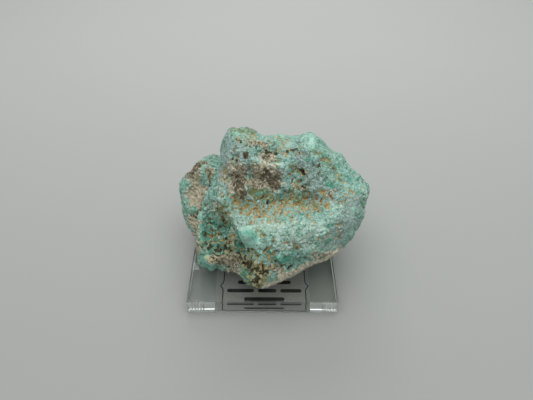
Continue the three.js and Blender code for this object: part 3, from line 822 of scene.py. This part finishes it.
def turquoise_colour(add, skin):
    """Turquoise of several hues, lighter or darker by the crumb, with painted shade at crumb edges and in
    creases, and painted highlights on top.
    """
    patch, fleck, dust = skin["patch"], skin["fleck"], skin["dust"]
    colour = laid_over(
        add,
        paint(TURQUOISE["middle"]),
        [
            Layer(TURQUOISE["pale"], skin["blotch"], 0.45, 0.7, 0.7),
            Layer(TURQUOISE["pale"], skin["chalky_and_lit"], 0.1, 0.8, noise=patch, tear=0.8),
            Layer(TURQUOISE["blue"], skin["blue"], 0.3, 0.8, noise=patch, tear=1.0),
            Layer(TURQUOISE["green"], skin["green"], 0.3, 0.7, noise=patch, tear=0.6),
            Layer(TURQUOISE["green"], skin["kind"], 0.8, 0.9, 0.6),
            Layer(TURQUOISE["waxy"], skin["smooth"], 0.3, 0.9, noise=fleck, tear=0.6),
            Layer(TURQUOISE["deep"], patch, 0.55, 0.7, 0.6),
            Layer(TURQUOISE["deep"], skin["deep"], 0.45, 0.9, noise=patch, tear=1.8),
            Layer(TURQUOISE["deep"], skin["fleck"], 0.86, 0.96, 0.8, noise=skin["third"], tear=1.0),
        ],
    )
    hue = add("ShaderNodeMapRange", {0: fleck, 1: 0.3, 2: 0.7, 3: 0.49, 4: 0.51})[0]
    saturation = add("ShaderNodeMapRange", {0: patch, 1: 0.3, 2: 0.7, 3: 0.85, 4: 1.15})[0]
    value = add("ShaderNodeMapRange", {0: skin["tone"], 3: 0.88, 4: 1.12})[0]
    # Painted shade and highlight: each crumb's colour is darker at its edge and lighter at its middle.
    painted_crumb_shading = add("ShaderNodeMath", {0: skin["crumb"], 1: skin["rough"]}, operation="MULTIPLY")[0]
    for level, low, high, dim, bright in (
        (painted_crumb_shading, 0.75, 0.15, 0.78, 1.15),
        (skin["second"], 0.0, 1.0, 0.91, 1.09),
    ):
        factor = add("ShaderNodeMapRange", {0: level, 1: low, 2: high, 3: dim, 4: bright})[0]
        value = add("ShaderNodeMath", {0: value, 1: factor}, operation="MULTIPLY")[0]
    tinted = {"Hue": hue, "Saturation": saturation, "Value": value, "Color": colour}
    colour = add("ShaderNodeHueSaturation", tinted)[0]
    fade = add("ShaderNodeMapRange", {0: skin["worn"], 1: 0.1, 2: 0.9, 3: 0.9, 4: 0.4}, **SOFT_STEP)[0]
    dark = add("ShaderNodeMath", {0: fade, 1: skin["rough"]}, operation="MULTIPLY")[0]
    # Painted highlights: the chalk tint lightens the tops of the grains, away from the hollows.
    top = add("ShaderNodeMapRange", {0: skin["between"], 1: 0.1, 2: 0.5, 3: 0.6, 4: 0.0}, **SOFT_STEP)[0]
    raised = add("ShaderNodeMath", {0: top, 1: skin["hollow"]}, operation="SUBTRACT")[0]
    chalk_highlight = Layer(TURQUOISE["chalk_highlight"], raised, 0.3, 1.0, skin["rough"], noise=dust, tear=1.2)
    # Painted shade: the crease tint darkens the creases between grains, less where the crust is worn or
    # smooth.
    crease = Layer(STAIN["crease"], skin["creased"], 0.6, 1.0, dark, noise=dust, tear=0.5)
    return laid_over(add, colour, [chalk_highlight, crease])


def earth_colour(add, skin):
    """Clay and iron: tan, with ochre crumbs inside the ochre strokes and rust in the hollows."""
    return laid_over(
        add,
        paint(STAIN["tan"]),
        [
            Layer(STAIN["ochre"], skin["ochre"], 0.55, 0.75, noise=skin["second"], tear=2.4),
            Layer(STAIN["rust"], skin["hollow"], 0.46, 0.6, noise=skin["third"], tear=1.25),
        ],
    )


def rock_colour(add, skin):
    """Host rock: brown and grey beds with cream and dark crumbs, painted shade between crumbs and in hollows,
    calmer where it is worn.
    """
    grit = add("ShaderNodeMapRange", {0: skin["worn"], 1: 0.1, 2: 0.6, 3: 0.8, 4: 0.3}, **SOFT_STEP)[0]
    return laid_over(
        add,
        paint(ROCK["brown"]),
        [
            Layer(ROCK["grey"], skin["streaks"], 0.46, 0.55),
            Layer(ROCK["cream"], skin["pale_rock"], 0.1, 0.9, 0.9),
            Layer(ROCK["cream"], skin["fleck"], 0.5, 0.7, grit, noise=skin["first"], tear=1.0),
            Layer(ROCK["dark"], skin["dark_rock"], 0.6, 1.0, 0.8, noise=skin["streaks"], tear=3.2),
            Layer(ROCK["dark"], skin["dark_rock"], 0.8, 1.0, 0.8, noise=skin["second"], tear=1.4),
            # Painted shade: the seam tint darkens the gaps between crumbs and the hollows.
            Layer(ROCK["seam_shade"], skin["crumb"], 0.55, 0.8, grit, noise=skin["fleck"], tear=1.6),
            Layer(ROCK["seam_shade"], skin["hollow"], 0.25, 0.6, 0.7, noise=skin["fleck"], tear=1.4),
        ],
    )


# %% The whole finish of the crust
def crust_colour(add, skin):
    """Stain, bare rock, dark clay, painted shade and painted highlights laid over the turquoise."""
    earth = earth_colour(add, skin)
    # Clay has settled in creases, hollows and broad basins, and more of it where ochre was laid.
    settled = skin["creased"]
    for name, weight in (("ochre", 0.65), ("basin", 0.07), ("blotch", 0.4), ("patch", 0.8), ("hollow", 0.8)):
        settled = add("ShaderNodeMath", {0: skin[name], 1: weight, 2: settled}, operation="MULTIPLY_ADD")[0]
    # The rock's border is torn by patches and by crumbs. Inside the grime strokes, dark clay and
    # painted shade keep to the hollows, and straw-coloured grit and painted highlights to what
    # stands up between them.
    border = add("ShaderNodeMath", {0: skin["first"], 1: 0.45, 2: skin["patch"]}, operation="MULTIPLY_ADD")[0]
    pit = add("ShaderNodeMath", {0: skin["hollow"], 1: 1.2, 2: skin["pit"]}, operation="MULTIPLY_ADD")[0]
    dirt_and_shade = add("ShaderNodeMath", {0: skin["hollow"], 1: 1.5, 2: skin["grime_and_shade"]}, operation="MULTIPLY_ADD")[0]
    grit_and_highlight = add("ShaderNodeMath", {0: skin["grime_and_shade"], 1: skin["hollow"]}, operation="SUBTRACT")[0]
    return laid_over(
        add,
        turquoise_colour(add, skin),
        [
            Layer(earth, settled, 1.62, 1.84, skin["rough"], noise=skin["first"], tear=0.4),
            Layer(STAIN["olive"], skin["olive"], 0.4, 1.0, 0.8, noise=skin["fleck"], tear=1.6),
            Layer(rock_colour(add, skin), skin["matrix"], 0.72, 0.86, noise=border, tear=1.2),
            # Straw-coloured grit, partly painted highlights on the raised crumbs inside the grime strokes.
            Layer(STAIN["straw_and_highlight"], grit_and_highlight, 0.95, 1.25, 0.85, noise=skin["second"], tear=1.2),
            # Dark clay and painted shade, in the hollows and inside the grime strokes.
            Layer(STAIN["grime_and_shade_tint"], dirt_and_shade, 0.85, 1.1, 0.9, noise=skin["third"], tear=0.6),
            Layer(STAIN["shadow"], pit, 0.75, 1.1, 0.8, noise=skin["dust"], tear=0.6),
        ],
    )


def crust_bump(add, skin):
    """Relief finer than the mesh: the grains' own domes, crumbs on them, and grit over all."""
    height = add("ShaderNodeMath", {0: skin["fleck"], 1: skin["dust"]}, operation="ADD")[0]
    for name, drop in (("between", -1.6), ("crumb", -0.9)):
        squared = add("ShaderNodeMath", {0: skin[name], 1: skin[name]}, operation="MULTIPLY")[0]
        height = add("ShaderNodeMath", {0: squared, 1: drop, 2: height}, operation="MULTIPLY_ADD")[0]
    calm = add("ShaderNodeMapRange", {0: skin["worn"], 1: 0.1, 2: 0.9, 3: 1.0, 4: 0.6}, **SOFT_STEP)[0]
    for share in (skin["rough"], calm):
        height = add("ShaderNodeMath", {0: height, 1: share}, operation="MULTIPLY")[0]
    return add("ShaderNodeBump", {"Strength": 1.0, "Distance": BUMP_HEIGHT, "Height": height})[0]


def build_crust_finish():
    """Weathered turquoise in its host rock: dull, rough and mottled to the last crumb."""
    material, add = new_material("weathered_turquoise")
    skin = read_skin(add)
    inputs = {
        "Base Color": crust_colour(add, skin),
        "Roughness": add("ShaderNodeMapRange", {0: skin["fleck"], 1: 0.3, 2: 0.7, 3: 0.7, 4: 0.92})[0],
        "IOR": 1.6,
        "Specular IOR Level": 0.3,
        "Normal": crust_bump(add, skin),
    }
    add("ShaderNodeOutputMaterial", {"Surface": add("ShaderNodeBsdfPrincipled", inputs)[0]})
    return material


crust_finish = build_crust_finish()
print("crust finish:", len(crust_finish.node_tree.nodes), "nodes")

# %% [markdown]
# ### Growing the crust
# The tree's sizes are set on the modifier before it first runs, and the result is kept as plain
# mesh. The material also wants to know how deep each vertex lies. Comparing the skin with a
# smoothed copy of itself tells that: a short smoothing finds the creases, and a long one the
# broad basins where clay gathers. Blender's own pointiness works too, but it can't be exported.

# %% Grow the crust on the stone
crust = stone.modifiers.new("crust", "NODES")
crust.node_group = crust_tree
for item in crust_tree.interface.items_tree:
    if item.in_out == "INPUT" and item.name in CRUST_SIZES:
        crust[item.identifier] = CRUST_SIZES[item.name]
    if item.in_out == "INPUT" and item.name == "Finish":
        crust[item.identifier] = crust_finish
settle(stone)
print("stone with crust:", triangles(stone.data), "triangles")


# %% Measure how deep each vertex lies
DEPTH_PASSES = {"hollow": 12, "basin": 120}  # how many times the copy is smoothed


def neighbour_smoothed(points, edges, passes):
    """The points after each has moved halfway to its neighbours' middle, several times."""
    count = np.bincount(edges.ravel(), minlength=len(points))
    for _ in range(passes):
        middle = np.empty_like(points)
        for axis in range(3):
            column = points[:, axis]
            total = np.bincount(edges[:, 0], column[edges[:, 1]], len(points))
            total += np.bincount(edges[:, 1], column[edges[:, 0]], len(points))
            middle[:, axis] = total / count
        points = (points + middle) / 2
    return points


def depth_below(mesh, passes):
    """How far each vertex lies below its smoothed neighbourhood, in millimetres."""
    points = read_rows(mesh.vertices, "co")
    edges = np.empty(len(mesh.edges) * 2, np.int32)
    mesh.edges.foreach_get("vertices", edges)
    smoothed = neighbour_smoothed(points, edges.reshape(-1, 2), passes)
    return np.einsum("ij,ij->i", smoothed - points, read_rows(mesh.vertex_normals, "vector")) / MM


for name, passes in DEPTH_PASSES.items():
    depth = depth_below(stone.data, passes)
    keep_attribute(stone.data, name, depth)
    print(f"{name}: from {np.percentile(depth, 5):.2f} to {np.percentile(depth, 95):.2f} mm")

# %% [markdown]
# ### Resting on the slab
# The crust's lumps stand out of the solid on every side, underneath too, and there they would
# sink into the plastic. The stone rests on the slab, so whatever reaches lower is pressed flat
# just above the slab's top, as a stone's own contact spots are worn.

# %% Set the stone down
SLAB_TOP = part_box("acrylic_slab")[1].z
REST_GAP = 0.02 * MM

points = read_rows(stone.data.vertices, "co")
print("pressed flat:", int(np.sum(points[:, 2] < SLAB_TOP + REST_GAP)), "vertices")
points[:, 2] = np.maximum(points[:, 2], SLAB_TOP + REST_GAP)
stone.data.vertices.foreach_set("co", points.astype(np.float32).ravel())
stone.data.shade_smooth()
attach(stone, "root")
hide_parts("turquoise_stone")

# %% [markdown]
# ## The acrylic slab
# The slab is cast acrylic, sawn square and flame-polished on every side. A primitive cube with
# a Bevel modifier gives the rounded edges, and a Boolean cuts the label's pocket into the
# underside. The solid's own recess has clearance round it, and air there would mirror the light
# and hide the print. So this slab's pocket fits the label closely, and its ceiling lies just
# inside the print.

# %% Slab mesh
SLAB_LOW, SLAB_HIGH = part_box("acrylic_slab")
LABEL_LOW, LABEL_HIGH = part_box("paper_label")
EDGE_RADIUS = 0.3 * MM
EDGE_SEGMENTS = 3
POCKET_GAP = 0.02 * MM
CUTTER_START = 1 * MM  # how far below the slab the pocket's cutter begins
PRINT_OVERLAP = 0.01 * MM


def block(name, low, high):
    """A closed box between two corners."""
    shape = bmesh.new()
    place = Matrix.Translation((high + low) / 2) @ Matrix.Diagonal((*(high - low), 1))
    bmesh.ops.create_cube(shape, size=1.0, matrix=place)
    return add_shape(name, shape)


slab = block("slab", SLAB_LOW, SLAB_HIGH)
rounding = slab.modifiers.new("rounding", "BEVEL")
rounding.width = EDGE_RADIUS
rounding.segments = EDGE_SEGMENTS
gap = Vector((POCKET_GAP, POCKET_GAP, 0))
below = Vector((0, 0, CUTTER_START))
overlap = Vector((0, 0, PRINT_OVERLAP))
cutter = block("label_pocket", LABEL_LOW - gap - below, LABEL_HIGH + gap - overlap)
pocket = slab.modifiers.new("pocket", "BOOLEAN")
pocket.operation = "DIFFERENCE"
pocket.object = cutter
settle(slab)
bpy.data.objects.remove(cutter)
print("slab:", triangles(slab.data), "triangles")

# %% [markdown]
# ### Clear acrylic
# Cast acrylic bends light by an index of 1.49, a little less than glass, and it swallows hardly
# any. Its faces are polished, with faint wipe marks that blur a reflection here and there. So
# the shader transmits everything, a slow noise varies a very low roughness, and a thin
# absorption greys the long way through the edges. A mix with a transparent shader would be
# quicker to render, but it wouldn't bend the label's picture as the real block does.


# %% Material for the slab
WIPE_SIZE = 9 * MM


def build_acrylic():
    """Clear cast acrylic: fully see-through, with faint wipe marks and a trace of grey depth."""
    material, add = new_material("clear_cast_acrylic")
    place = add("ShaderNodeTexCoord")["Object"]
    wipes = {"Vector": place, "Scale": 1 / WIPE_SIZE, "Detail": 3.0, "Roughness": 0.6}
    smear = add("ShaderNodeTexNoise", wipes)[0]
    polish = add("ShaderNodeMapRange", {0: smear, 1: 0.45, 2: 0.75, 3: 0.01, 4: 0.05}, **SOFT_STEP)[0]
    body = {
        "Base Color": paint("#F7FAF8"),
        "Roughness": polish,
        "IOR": 1.49,
        "Transmission Weight": 1.0,
    }
    surface_shader = add("ShaderNodeBsdfPrincipled", body)[0]
    depth = add("ShaderNodeVolumeAbsorption", {"Color": paint("#DDE8E4"), "Density": 6.0})[0]
    add("ShaderNodeOutputMaterial", {"Surface": surface_shader, "Volume": depth})
    return material


slab.data.materials.append(build_acrylic())
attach(slab, "root")
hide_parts("acrylic_slab")
print("slab rides on root and replaces its solid")

# %% [markdown]
# ## The label
# A slip of white paper is stuck under the slab with its print facing up, so it is read through
# the plastic. The print here is generic: a thin frame with a brace point at each side, and plain
# bars where a label has its rows. Ink could be painted by a material, but a few thin layers of
# mesh give clean edges at any size. The frame's line is a ring of small patches along its
# outline, joined before they are given a thickness, so the ring is one closed band.

# %% Sizes of the print
PRINT_SHIFT = 0.6 * MM  # the print sits a little right of the paper's middle
PRINT_MIDDLE = (LABEL_LOW + LABEL_HIGH) / 2 + Vector((PRINT_SHIFT, 0, 0))
FRAME_HALF_WIDTH = 14.4 * MM
FRAME_HALF_DEPTH = 7.7 * MM
FRAME_CORNER = 1.1 * MM
BRACE_REACH = 1.1 * MM
BRACE_SPREAD = 2.4 * MM
FRAME_LINE = 0.38 * MM
INK_THICKNESS = 0.015 * MM
INK_JOIN = 0.0001 * MM
BAR_HEIGHT = 1.5 * MM
BAR_GAP = 1.3 * MM
# How many points a brace's half, a corner's arc and a bar's round end have.
BRACE_POINTS, CORNER_POINTS, BAR_END_POINTS = 21, 7, 9
# Rows of plain bars: distance from the print's middle towards the back, and the bars' lengths.
ROWS = [
    (-5.5 * MM, (14.0 * MM,)),
    (-2.0 * MM, (9.5 * MM, 6.5 * MM, 7.5 * MM)),
    (1.6 * MM, (8.0 * MM, 9.5 * MM)),
    (5.2 * MM, (12.0 * MM, 4.0 * MM)),
]
print("print area:", round(2 * FRAME_HALF_WIDTH / MM, 1), "by", round(2 * FRAME_HALF_DEPTH / MM, 1), "mm")


# %% Outlines of the print
def frame_outline():
    """The frame's middle line, anticlockwise from the lower right corner, with its brace points."""
    corner_y = FRAME_HALF_DEPTH - FRAME_CORNER
    quarter = []
    for y in np.linspace(0, corner_y, BRACE_POINTS):
        point = max(0.0, 1 - y / BRACE_SPREAD)
        quarter.append((FRAME_HALF_WIDTH + BRACE_REACH * point * point, y))
    for angle in np.linspace(0, math.pi / 2, CORNER_POINTS)[1:]:
        inset = FRAME_CORNER * (1 - math.cos(angle))
        quarter.append((FRAME_HALF_WIDTH - inset, corner_y + FRAME_CORNER * math.sin(angle)))
    right = [(x, -y) for x, y in reversed(quarter[1:])] + quarter
    return right + [(-x, -y) for x, y in right]


def line_patches(points, width):
    """A closed line as a ring of four-sided patches."""
    ring = np.array(points)
    along = np.roll(ring, -1, axis=0) - np.roll(ring, 1, axis=0)
    across = np.stack([along[:, 1], -along[:, 0]], axis=1)
    across *= width / 2 / np.linalg.norm(across, axis=1, keepdims=True)
    outer, inner = ring + across, ring - across
    count = len(ring)
    return [[outer[i], outer[(i + 1) % count], inner[(i + 1) % count], inner[i]] for i in range(count)]


def bar_outline(x, y, length, height):
    """A bar with rounded ends."""
    radius = height / 2
    angles = np.linspace(0, math.pi, BAR_END_POINTS)
    turn = [(math.sin(angle) * radius, -math.cos(angle) * radius) for angle in angles]
    right = [(x + length / 2 - radius + dx, y + dy) for dx, dy in turn]
    left = [(x - length / 2 + radius - dx, y - dy) for dx, dy in turn]
    return right + left


print("frame outline:", len(frame_outline()), "points")


# %% Paper and print meshes
def ink_layer(name, patches):
    """A thin closed layer of ink over the paper, from patches about the print's middle."""
    shape = bmesh.new()
    for patch in patches:
        corners = [(PRINT_MIDDLE.x + x, PRINT_MIDDLE.y + y, LABEL_HIGH.z) for x, y in patch]
        shape.faces.new([shape.verts.new(corner) for corner in corners])
    bmesh.ops.remove_doubles(shape, verts=shape.verts, dist=INK_JOIN)
    lifted = bmesh.ops.extrude_face_region(shape, geom=shape.faces[:], use_keep_orig=True)
    risen = [item for item in lifted["geom"] if isinstance(item, bmesh.types.BMVert)]
    bmesh.ops.translate(shape, verts=risen, vec=(0, 0, INK_THICKNESS))
    bmesh.ops.recalc_face_normals(shape, faces=shape.faces)
    open_edges = sum(len(edge.link_faces) != 2 for edge in shape.edges)
    ink = add_shape(name, shape)
    print(f"{name}: {triangles(ink.data)} triangles, {open_edges} edges without two faces")
    return ink


bars = []
for y, lengths in ROWS:
    left = -(sum(lengths) + BAR_GAP * (len(lengths) - 1)) / 2
    for length in lengths:
        bars.append(bar_outline(left + length / 2, y, length, BAR_HEIGHT))
        left += length + BAR_GAP
paper = block("paper", LABEL_LOW, LABEL_HIGH)
frame_ink = ink_layer("frame_ink", line_patches(frame_outline(), FRAME_LINE))
row_ink = ink_layer("row_ink", bars)

# %% [markdown]
# ### Paper and toner
# Office paper is matt, and its fibres cloud it a little. Laser toner is a black powder melted
# onto it, so it shines slightly more than the paper and thins out in places. Both are one
# principled shader with a noise between two close tints, at the size of a fibre or a toner clump.


# %% Materials for the label
PAPER_FIBRES = 0.5 * MM
TONER_CLUMPS = 0.3 * MM


def build_label_finish(name, grain, tints, roughness):
    """A flat print finish: a noise of the grain's size between two close tints."""
    material, add = new_material(name)
    place = add("ShaderNodeTexCoord")["Object"]
    cloud = add("ShaderNodeTexNoise", {"Vector": place, "Scale": 1 / grain, "Detail": 4.0})[0]
    shade = laid_over(add, paint(tints[0]), [Layer(tints[1], cloud, 0.35, 0.7)])
    shader = add("ShaderNodeBsdfPrincipled", {"Base Color": shade, "Roughness": roughness})[0]
    add("ShaderNodeOutputMaterial", {"Surface": shader})
    return material


# Uncoated paper has no gloss at all, and melted toner has a little.
paper.data.materials.append(
    build_label_finish("uncoated_white_paper", PAPER_FIBRES, ("#B9B9B6", "#C9C9C6"), 0.9)
)
black_toner = build_label_finish("black_toner", TONER_CLUMPS, ("#1C1D1E", "#3A3B3C"), 0.5)
for ink in (frame_ink, row_ink):
    ink.data.materials.append(black_toner)
for piece in (paper, frame_ink, row_ink):
    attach(piece, "root")
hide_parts("paper_label")
print("label:", len(ROWS), "rows of", len(bars), "bars")

# %% [markdown]
# ## Floor
# The stone stands on a plain pale floor that runs out of sight. It is a single wide face just
# under the slab, in matt white display paper. Its colour is painted lighter further back and
# darker near the camera: painted light and painted shade, not a change in the paper.

# %% Floor
FLOOR_SIZE = 3.0
FLOOR_DROP = 0.05 * MM  # keeps the slab's underside clear of the floor's own plane
CLOUD_SIZE = 60 * MM
# Painted light and shade: the paper's colour gets lighter towards the back and darker near the camera.
PAINTED_LIGHT_FROM, PAINTED_LIGHT_FULL_AT = -120 * MM, 220 * MM  # y over which the paper gets lighter


def build_floor_finish():
    """Matt white display paper, seamless: dull, with a broad faint cloud, and painted light that lightens it
    towards the back.
    """
    material, add = new_material("matt_white_sweep")
    place = add("ShaderNodeTexCoord")["Object"]
    cloud = add("ShaderNodeTexNoise", {"Vector": place, "Scale": 1 / CLOUD_SIZE})[0]
    depth = add("ShaderNodeSeparateXYZ", {0: place})[1]
    cloud_and_painted_light = add("ShaderNodeMapRange", {0: depth, 1: PAINTED_LIGHT_FROM, 2: PAINTED_LIGHT_FULL_AT, 4: 0.9}, **SOFT_STEP)[0]
    cloud_and_painted_light = add("ShaderNodeMath", {0: cloud, 1: 0.1, 2: cloud_and_painted_light}, operation="MULTIPLY_ADD")[0]
    shade = add("ShaderNodeMix", {0: cloud_and_painted_light, 6: paint("#AAADAB"), 7: paint("#C2C5C3")}, data_type="RGBA")[2]
    sweep = add("ShaderNodeBsdfPrincipled", {"Base Color": shade, "Roughness": 0.8})[0]
    add("ShaderNodeOutputMaterial", {"Surface": sweep})
    return material


floor_mesh = bpy.data.meshes.new("floor")
half = FLOOR_SIZE / 2
corners = [(x * half, y * half, -FLOOR_DROP) for x, y in ((-1, -1), (1, -1), (1, 1), (-1, 1))]
floor_mesh.from_pydata(corners, [], [(0, 1, 2, 3)])
floor = add_object("floor", floor_mesh)
floor_mesh.materials.append(build_floor_finish())
floor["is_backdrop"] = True
print("floor:", FLOOR_SIZE, "m across")

# %% [markdown]
# ## Light
# The light is broad and soft, from above and a little in front, with light from all round to
# keep the shadows open. Small lamps would cut hard shadows behind every lump of crust. A second
# panel stands far behind and lights mostly the floor there.

# %% Lights
ROOM_STRENGTH = 0.34
# Each panel's name, its place, what it faces, its side in metres and its power in watts.
PANELS = (
    ("overhead_panel", (0.01, -0.04, 0.5), (0, 0, 0.02), 0.6, 1.8),
    ("backdrop_panel", (0, 0.7, 0.5), (0, 0.45, 0), 0.5, 2.0),
)

world = bpy.data.worlds.new("soft_room")
bpy.context.scene.world = world
world.use_nodes = True
world.node_tree.nodes["Background"].inputs["Color"].default_value = paint("#F7F8F3")
world.node_tree.nodes["Background"].inputs["Strength"].default_value = ROOM_STRENGTH


def add_panel(name, place, target, size, power):
    """A square soft light at a place, turned to face the target."""
    data = bpy.data.lights.new(name, "AREA")
    data.size = size
    data.energy = power
    lamp = add_object(name, data)
    lamp.location = place
    lamp.rotation_euler = (Vector(target) - Vector(place)).to_track_quat("-Z", "Y").to_euler()


for panel in PANELS:
    add_panel(*panel)

# %% [markdown]
# ## Camera
# The camera looks down on the broad face from about 15 cm away, with a slightly wide lens, as
# one does when looking closely at a stone. It leans as much as the broad face does. Light
# that enters the slab's front bounces about five times inside before it leaves, so more bounces
# are followed than usual. Without them the corners of the front face would be black.

# %% Camera
LENS = 30.4
SENSOR_WIDTH = 36
CAMERA_PLACE = (1.2 * MM, -113.6 * MM, 132.1 * MM)
CAMERA_ROLL = math.radians(0.3)
NEAREST_SEEN = 5 * MM
BOUNCES_IN_SLAB = 12

camera_data = bpy.data.cameras.new("camera")
camera_data.sensor_width = SENSOR_WIDTH
camera_data.lens = LENS
camera_data.clip_start = NEAREST_SEEN
camera = add_object("camera", camera_data)
lean = Matrix.Rotation(math.pi / 2 - FACE_LEAN, 4, "X")
camera.matrix_world = Matrix.Translation(CAMERA_PLACE) @ lean @ Matrix.Rotation(CAMERA_ROLL, 4, "Z")
bpy.context.scene.camera = camera
bpy.context.scene.view_settings.view_transform = "Standard"
bpy.context.scene.cycles.glossy_bounces = BOUNCES_IN_SLAB
print("camera:", round(Vector(CAMERA_PLACE).length / MM), "mm from the slab's underside")

# %% [markdown]
# ## Sizes of the solids and the dressed object
# The dressed object must keep the solids' size, so both boxes are written down side by side.

# %% Sizes
VISUAL_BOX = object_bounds()
for label, box in (("solids", CAD_BOX), ("dressed", VISUAL_BOX)):
    print(label, [round(value / MM, 2) for corner in box for value in corner])
